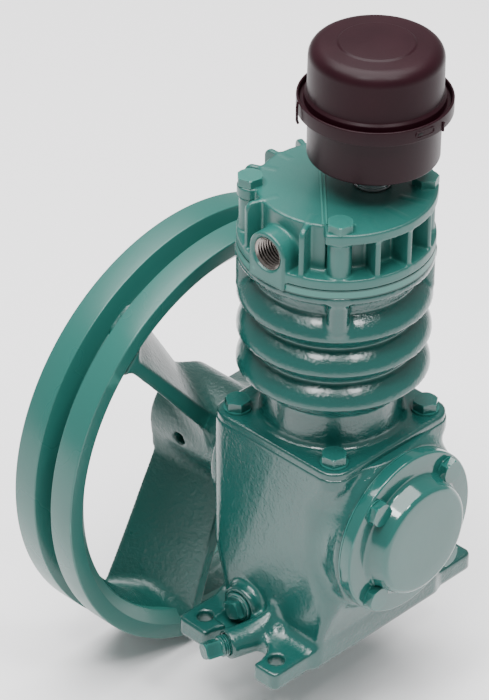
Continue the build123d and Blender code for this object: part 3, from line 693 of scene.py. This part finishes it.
# The port's thread was cut after painting, so it is bare iron: grey, with brighter and duller
# flanks. It is drawn as separate rings.
port_outline = [(8.95, -1.0), (8.8, -1.0)]
for turn_count in range(8):
    base = -1.2 - turn_count * 1.8
    port_outline += [(8.8, base), (7.6, base - 0.8), (7.6, base - 1.0), (8.8, base - 1.75)]
port_outline += [(8.95, -15.8), (8.95, -1.0)]
port_thread = turned("discharge_port_thread", port_outline, (port_face, 0, port_z), (-1, 0, 0), 96, 20)
bare_iron, tree, output, place = start_material("bare_threaded_iron")
rust = add(tree, "ShaderNodeTexNoise", {"Scale": 1000 / 3.0, "Detail": 4.0}, {"Vector": place})
tint = add(tree, "ShaderNodeMix", {"data_type": "RGBA", 6: linear("#5d5753"), 7: linear("#a09a95")},
           {0: rust.outputs["Fac"]})
tool_marks = add(tree, "ShaderNodeMapRange", {"To Min": 0.16, "To Max": 0.34}, {"Value": rust.outputs["Fac"]})
shader = add(tree, "ShaderNodeBsdfPrincipled", {"Metallic": 1.0},
             {"Base Color": tint.outputs[2], "Roughness": tool_marks.outputs["Result"]})
tree.links.new(shader.outputs[0], output.inputs[0])
port_thread.data.materials.append(bare_iron)
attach(port_thread, CASTING)

# ------------------------------------------------------------------ intake filter
# A zinc-plated pipe nipple holds a two-part pressed steel canister: a pan below and a lid with a
# turned-down skirt over it, drawn from thin sheet and painted dark brown-black, satin.
pan_low, pan_high = span("filter_pan")
lid_low, lid_high = span("filter_cap")
filter_centre = (filter_x, filter_y, 0)
nipple_outline = [(6.6, filter_low[2] + 1), (8.9, filter_low[2] + 1), (8.9, head_top), (9.2, head_top)]
for ring in range(13):
    base = head_top + 0.2 + ring * thread_pitch
    nipple_outline += [(9.2, base), (9.95, base + 0.5), (9.95, base + 0.8), (9.2, base + 1.25)]
nipple_outline += [(9.0, pan_low[2]), (7.9, pan_low[2]), (7.9, filter_high[2]), (6.6, filter_high[2]),
                   (6.6, filter_low[2] + 1)]
nipple = turned("intake_nipple", nipple_outline, filter_centre, (0, 0, 1), 96)
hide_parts("filter_nipple")
zinc, tree, output, place = start_material("bright_zinc_plate")
spangle = add(tree, "ShaderNodeTexNoise", {"Scale": 1000 / 2.0, "Detail": 3.0}, {"Vector": place})
shine = add(tree, "ShaderNodeMapRange", {"To Min": 0.08, "To Max": 0.22}, {"Value": spangle.outputs["Fac"]})
shader = add(tree, "ShaderNodeBsdfPrincipled", {"Metallic": 1.0, "Base Color": linear("#d3d6d8")},
             {"Roughness": shine.outputs["Result"]})
tree.links.new(shader.outputs[0], output.inputs[0])
nipple.data.materials.append(zinc)

sheet = 1.2
pan_r, pan_rim = 34.7, (pan_high[0] - pan_low[0]) / 2
pan_z, pan_top = pan_low[2], pan_high[2]
pan = turned(
    "filter_pan_pressing",
    rounded([
        (8.2, pan_z + sheet, 0), (8.2, pan_z, 0.3), (15, pan_z, 2), (18, pan_z + 0.4, 2), (pan_r, pan_z, 1.4),
        (pan_r, pan_top - sheet, 1.0), (pan_rim, pan_top - sheet, 0.4), (pan_rim, pan_top, 0.4),
        (pan_r - sheet, pan_top, 1.0), (pan_r - sheet, pan_z + 1.9, 2.4), (8.2, pan_z + sheet, 0),
    ]),
    filter_centre, (0, 0, 1), 220,
)
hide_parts("filter_pan")
skirt_r, lid_r = (lid_high[0] - lid_low[0]) / 2, 35.3
skirt_low, skirt_top, lid_top = lid_low[2], 326.5, lid_high[2]
lid = turned(
    "filter_lid_pressing",
    rounded([
        (skirt_r - sheet, skirt_low, 0), (skirt_r, skirt_low, 0.4), (skirt_r, skirt_top, 0.7),
        (skirt_r - 1.3, skirt_top, 0.5), (skirt_r - 1.6, skirt_top - 3.4, 0.8),
        (lid_r + 1.2, skirt_top - 3.4, 0.6),
        (lid_r + 1.4, skirt_top + 1.0, 0.6), (lid_r, skirt_top + 2.4, 0.9),
        (lid_r - 0.2, lid_top - 1.6, 15.0), (20.5, lid_top - 1.0, 1.0), (19.5, lid_top - 0.35, 1.0),
        (0, lid_top, 0), (0, lid_top - sheet, 0), (19.0, lid_top - sheet - 0.5, 2),
        (lid_r - sheet, lid_top - 3.0, 14.0),
        (lid_r - sheet, skirt_top - 4.6, 0.5), (skirt_r - sheet, skirt_top - 4.6, 0.8),
        (skirt_r - sheet, skirt_low, 0),
    ]),
    filter_centre, (0, 0, 1), 240,
)
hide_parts("filter_cap")

canister, tree, output, place = start_material("satin_brown_black_stove_enamel")
mist = add(tree, "ShaderNodeTexNoise", {"Scale": 1000 / 25, "Detail": 4.0}, {"Vector": place})
speck = add(tree, "ShaderNodeTexNoise", {"Scale": 1000 / 0.9, "Detail": 2.0}, {"Vector": place})
tone = add(tree, "ShaderNodeMix", {"data_type": "RGBA", 6: linear("#17050a"), 7: linear("#240b13")},
           {0: mist.outputs["Fac"]})
sheen = add(tree, "ShaderNodeMapRange", {"To Min": 0.30, "To Max": 0.44}, {"Value": mist.outputs["Fac"]})
texture = add(tree, "ShaderNodeBump", {"Distance": 0.02 / 1000, "Strength": 1.0},
              {"Height": speck.outputs["Fac"]})
shader = add(tree, "ShaderNodeBsdfPrincipled", {"IOR": 1.5, "Specular IOR Level": 0.14},
             {"Base Color": tone.outputs[2], "Roughness": sheen.outputs["Result"],
              "Normal": texture.outputs["Normal"]})
tree.links.new(shader.outputs[0], output.inputs[0])


def bent_wire(name, path, radius, closed=False, sides=10):
    """A round wire or bead of that radius along a path of points in millimetres."""
    path = [Vector(point) for point in path]
    vertices, faces = [], []
    for i, point in enumerate(path):
        back = path[i - 1] if i or closed else point
        ahead = path[(i + 1) % len(path)] if i + 1 < len(path) or closed else point
        along = (ahead - back).normalized()
        side = along.cross(Vector((0.3, 0.2, 0.93))).normalized()
        other = along.cross(side)
        for k in range(sides):
            a = 2 * math.pi * k / sides
            vertices.append(tuple((point + radius * (math.cos(a) * side + math.sin(a) * other)) / 1000))
    for i in range(len(path) if closed else len(path) - 1):
        a, b = i * sides, (i + 1) % len(path) * sides
        faces += [[a + k, a + (k + 1) % sides, b + (k + 1) % sides, b + k] for k in range(sides)]
    if not closed:
        faces += [list(range(sides)), list(range(len(vertices) - sides, len(vertices)))[::-1]]
    return finish_mesh(name, vertices, faces, 40)


def on_skirt(degrees, z, out=0.0):
    angle, radius = math.radians(degrees), skirt_r + out
    return (filter_x + radius * math.cos(angle), filter_y + radius * math.sin(angle), z)


slot_mid, slot_reach, slot_half = skirt_low + 4.0, 6.0, 1.7
slot_outline = [
    on_skirt(-98.5 + (math.copysign(slot_reach, math.cos(a)) + 2.4 * math.cos(a)),
             slot_mid + slot_half * math.sin(a))
    for a in (math.radians(15 * k + 7.5) for k in range(24))
]
slot_bead = bent_wire("lid_skirt_pressed_slot", slot_outline, 0.42, True)
# The latch hole is a near-black bar sunk into the skirt: painted shade for the dark inside of the hole.
latch_ends = [on_skirt(-104.5, slot_mid, -0.25), on_skirt(-101, slot_mid, -0.25)]
latch_hole = bent_wire("lid_skirt_latch_hole", latch_ends, 0.62)
latch_tab = joined("lid_latch_tab", [
    bent_wire("tab_a", [on_skirt(-79.5, skirt_low - 0.6, 0.1), on_skirt(-79.5, skirt_low + 4.4, 0.35)], 0.7),
    bent_wire("tab_b", [on_skirt(151, skirt_top + 1.2, 0.8), on_skirt(152, skirt_top - 1.5, 1.5),
                        on_skirt(153, skirt_low - 0.5, 1.7), on_skirt(153, skirt_low - 2.5, 1.0)], 0.75),
])
for piece in (pan, lid, slot_bead, latch_tab):
    piece.data.materials.append(canister)
# Near-black material for the latch hole bar: painted shade, not a paint colour.
hole_shadow = bpy.data.materials.new("painted_latch_hole_shade")
hole_shadow.use_nodes = True
latch_hole_shade_speck = add(hole_shadow.node_tree, "ShaderNodeTexNoise", {"Scale": 1000 / 0.8, "Detail": 2.0})
latch_hole_shade_tone = add(hole_shadow.node_tree, "ShaderNodeMix",
                  {"data_type": "RGBA", 6: linear("#050304"), 7: linear("#0b0708")},
                  {0: latch_hole_shade_speck.outputs["Fac"]})
hole_shader = hole_shadow.node_tree.nodes["Principled BSDF"]
hole_shader.inputs["Roughness"].default_value = 0.8
hole_shadow.node_tree.links.new(latch_hole_shade_tone.outputs[2], hole_shader.inputs["Base Color"])
latch_hole.data.materials.append(hole_shadow)
for piece in (nipple, pan, lid, slot_bead, latch_hole, latch_tab):
    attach(piece, CASTING)

felt, tree, output, place = start_material("pressed_filter_felt")
fibre = add(tree, "ShaderNodeTexNoise", {"Scale": 1000 / 1.2, "Detail": 6.0}, {"Vector": place})
wool = add(tree, "ShaderNodeMix", {"data_type": "RGBA", 6: linear("#a79c86"), 7: linear("#c9c0ad")},
           {0: fibre.outputs["Fac"]})
nap = add(tree, "ShaderNodeBump", {"Distance": 0.3 / 1000, "Strength": 1.0}, {"Height": fibre.outputs["Fac"]})
shader = add(tree, "ShaderNodeBsdfPrincipled", {"Roughness": 0.9},
             {"Base Color": wool.outputs[2], "Normal": nap.outputs["Normal"]})
tree.links.new(shader.outputs[0], output.inputs[0])
slots = frame["nodes"]["filter_element"].data.materials
slots.clear()
slots.append(felt)

# ------------------------------------------------------------------ flywheel
# The flywheel is grey iron: the rim's faces and belt groove are turned true, while the three fan
# spokes and the hub stay as cast, rough and blended into the rim. Satin enamel, thin on the spokes.
wheel_low, wheel_high = span("flywheel")
wheel_step = 1.2
p = lattice(wheel_low, wheel_high, wheel_step)
rim_near, rim_far, rim_r = 70.7, 114.9, (wheel_high[0] - wheel_low[0]) / 2
hub_near, hub_far, hub_r = wheel_low[1], wheel_high[1], 25.0
rim_mid = (rim_near + rim_far) / 2
radial = np.hypot(p[0], p[2] - crank_z)
draft = np.abs(p[1] - rim_mid) / (rim_far - rim_mid)
bore_r = 108.5 + 10.4 * draft**1.6
web_r = 114.9
rim_ring = np.maximum(bore_r - radial, radial - web_r)
rim = np.maximum(rim_ring, np.abs(p[1] - rim_mid) - (rim_far - rim_mid - 0.5))
hub = shaft(p, (0, hub_near, crank_z), (0, hub_far, crank_z), hub_r, 2.0)
wheel = join(rim, hub, 1)
for spoke in (6, 126, 246):
    turn_angle = math.radians(spoke)
    outward = p[0] * math.cos(turn_angle) + (p[2] - crank_z) * math.sin(turn_angle)
    sideways = -p[0] * math.sin(turn_angle) + (p[2] - crank_z) * math.cos(turn_angle)
    share = np.clip((outward - 17) / 95, 0, 1)
    slant = np.radians(18 + 19 * share)
    half_length = 29.0 - 2.0 * np.sin(math.pi * share)
    thickness = 4.6 - 1.2 * share
    chordwise = np.abs((p[1] - rim_mid) * np.cos(slant) * -1 + sideways * np.sin(slant))
    flatwise = np.abs(sideways * np.cos(slant) + (p[1] - rim_mid) * np.sin(slant))
    blade = edged(chordwise - half_length, flatwise - thickness, 3.0)
    blade = np.maximum(np.maximum(blade, 10 - outward), radial - web_r)
    blade = edged(blade, np.abs(p[1] - rim_mid) - (rim_far - rim_mid - 0.6), 0.6)
    wheel = join(wheel, blade, 9)
face_gap = np.where(radial > 30, np.abs(p[1] - rim_mid) - (rim_far - rim_mid - 0.4), -9)
wheel = np.maximum(wheel, face_gap)
wheel = np.maximum(wheel, np.maximum(hub_near - p[1], p[1] - hub_far))
wheel = cut(wheel, shaft(p, (0, hub_near - 9, crank_z), (0, hub_far + 9, crank_z), 12.55), 0.8)
screw_angle = math.radians(186)
screw_way = np.array([math.cos(screw_angle), 0, math.sin(screw_angle)])
screw_foot = np.array([0, 92.0, crank_z])
wheel = cut(wheel, shaft(p, tuple(screw_foot + 10 * screw_way), tuple(screw_foot + 40 * screw_way), 3.8), 0.6)
wheel_casting = cast("flywheel_hub_and_fan_spokes", wheel, wheel_low, wheel_step)
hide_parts("flywheel")

groove_near, groove_far, groove_depth = 86.45, 99.25, 12.0
rim_outline = rounded([
    (112.5, rim_near + 6, 0), (118.9, rim_near, 0.8), (rim_r, rim_near, 0.9), (rim_r, groove_near, 0.8),
    (rim_r - groove_depth, groove_near + 3.4, 0.8), (rim_r - groove_depth, groove_far - 3.4, 0.8),
    (rim_r, groove_far, 0.8), (rim_r, rim_far, 0.9), (118.9, rim_far, 0.8), (112.5, rim_far - 6, 0),
    (112.5, rim_near + 6, 0),
])
wheel_rim = turned("flywheel_turned_rim", rim_outline, (0, 0, crank_z), (0, 1, 0), 320)
rim_enamel = sprayed_enamel(
    "satin_enamel_on_turned_rim", "#1f5a52", "#3a776c", "#1a4c46", 0.30, 0.05, 2.4, 0.012, 0.04
)
spoke_enamel = sprayed_enamel(
    "thin_enamel_on_rough_spokes", "#174f48", "#2a6a61", "#0e3a35", 0.30, 0.1, 2.6, 0.50, 0.20
)
wheel_rim.data.materials.append(rim_enamel)
wheel_casting.data.materials.append(spoke_enamel)
wheel_casting.data.materials.append(rim_enamel)
for face in wheel_casting.data.polygons:
    y = face.center.y * 1000
    if abs(face.normal.y) > 0.9 and abs(y - rim_mid) > rim_far - rim_mid - 1.4 and face.center.length > 0.03:
        face.material_index = 1
for piece in (wheel_rim, wheel_casting):
    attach(piece, CRANK)

# ------------------------------------------------------------------ shaft, bearings and running gear
# Inside the castings the running gear is bare metal: ground steel shaft and bearings, a cast
# aluminium rod and piston, iron rings, and a black lip seal behind the rear bearing.
def bare_metal(name, dark, light, roughness, grain_mm, metallic=1.0):
    """Machined metal: a slight tone change and a fine tool grain."""
    material, tree, output, place = start_material(name)
    grain = add(tree, "ShaderNodeTexNoise", {"Scale": 1000 / grain_mm, "Detail": 4.0}, {"Vector": place})
    tone = add(tree, "ShaderNodeMix", {"data_type": "RGBA", 6: linear(dark), 7: linear(light)},
               {0: grain.outputs["Fac"]})
    dull = add(tree, "ShaderNodeMapRange", {"To Min": roughness * 0.8, "To Max": roughness * 1.25},
               {"Value": grain.outputs["Fac"]})
    shader = add(tree, "ShaderNodeBsdfPrincipled", {"Metallic": metallic},
                 {"Base Color": tone.outputs[2], "Roughness": dull.outputs["Result"]})
    tree.links.new(shader.outputs[0], output.inputs[0])
    return material


finishes = {
    "bearing_steel": bare_metal("ground_bearing_steel", "#b4b6b8", "#d0d2d4", 0.14, 1.0),
    "machined_steel": bare_metal("turned_carbon_steel", "#85868a", "#a9abae", 0.30, 0.8),
    "black_screw_steel": bare_metal("black_oxide_screw", "#141414", "#26262a", 0.42, 0.6),
    "seal_rubber": bare_metal("nitrile_lip_seal", "#0f0f10", "#1b1b1d", 0.6, 1.4, 0.0),
    "cast_aluminium": bare_metal("as_cast_aluminium", "#9c9ea0", "#bcbec0", 0.45, 1.8),
    "ring_iron": bare_metal("ground_ring_iron", "#55585a", "#6f7274", 0.30, 0.7),
}
for entry in frame["record"]["subparts"]:
    if entry["material_slot"] in finishes:
        slots = frame["nodes"][entry["node"]].data.materials
        slots.clear()
        slots.append(finishes[entry["material_slot"]])

# ------------------------------------------------------------------ floor, lights and camera
# A pale seamless floor under the lowest point of the flywheel, wide soft boxes overhead and at
# the sides, and a long lens looking down from the front left.
floor_z = cad_low[2] - 0.002
floor_corners = [(-6, -6, floor_z), (6, -6, floor_z), (6, 6, floor_z), (-6, 6, floor_z)]
floor = finish_mesh("floor", floor_corners, [(0, 1, 2, 3)])
paper, tree, output, place = start_material("white_background_paper")
shader = add(tree, "ShaderNodeBsdfPrincipled", {"Base Color": (0.92, 0.91, 0.92, 1), "Roughness": 0.9})
tree.links.new(shader.outputs[0], output.inputs[0])
floor.data.materials.append(paper)

world = bpy.data.worlds.new("studio")
bpy.context.scene.world = world
world.use_nodes = True
world.node_tree.nodes["Background"].inputs["Color"].default_value = (1.0, 0.985, 0.99, 1)
world.node_tree.nodes["Background"].inputs["Strength"].default_value = 0.5


def soft_box(name, place, aim, width, height, power):
    lamp = bpy.data.lights.new(name, "AREA")
    lamp.shape = "RECTANGLE"
    lamp.size, lamp.size_y, lamp.energy = width, height, power
    lamp_object = bpy.data.objects.new(name, lamp)
    bpy.context.scene.collection.objects.link(lamp_object)
    lamp_object.location = place
    lamp_object.rotation_euler = (Vector(aim) - Vector(place)).to_track_quat("-Z", "Y").to_euler()


target = (0, 0, 0.15)
soft_box("overhead_box", (0.0, 0.2, 2.1), target, 2.2, 2.2, 130)
soft_box("left_key", (-0.95, -0.25, 1.75), target, 0.32, 0.32, 12)
soft_box("right_key", (-0.15, -1.0, 1.75), target, 0.32, 0.32, 12)

camera_data = bpy.data.cameras.new("camera")
camera_data.lens, camera_data.sensor_width = 192.0, 36.0
camera_data.clip_end = 50
camera = bpy.data.objects.new("camera", camera_data)
bpy.context.scene.collection.objects.link(camera)
bpy.context.scene.camera = camera
camera_azimuth, camera_drop, camera_roll = math.radians(45.84), math.radians(33.91), math.radians(0.7)
ahead = Vector((
    math.sin(camera_azimuth) * math.cos(camera_drop),
    math.cos(camera_azimuth) * math.cos(camera_drop),
    -math.sin(camera_drop),
))
level_right = Vector((math.cos(camera_azimuth), -math.sin(camera_azimuth), 0))
level_up = level_right.cross(ahead)
right = math.cos(camera_roll) * level_right + math.sin(camera_roll) * level_up
up = -math.sin(camera_roll) * level_right + math.cos(camera_roll) * level_up
camera.matrix_world = Matrix((
    (right.x, up.x, -ahead.x, -1.22123),
    (right.y, up.y, -ahead.y, -1.11994),
    (right.z, up.z, -ahead.z, 1.28097),
    (0, 0, 0, 1),
))
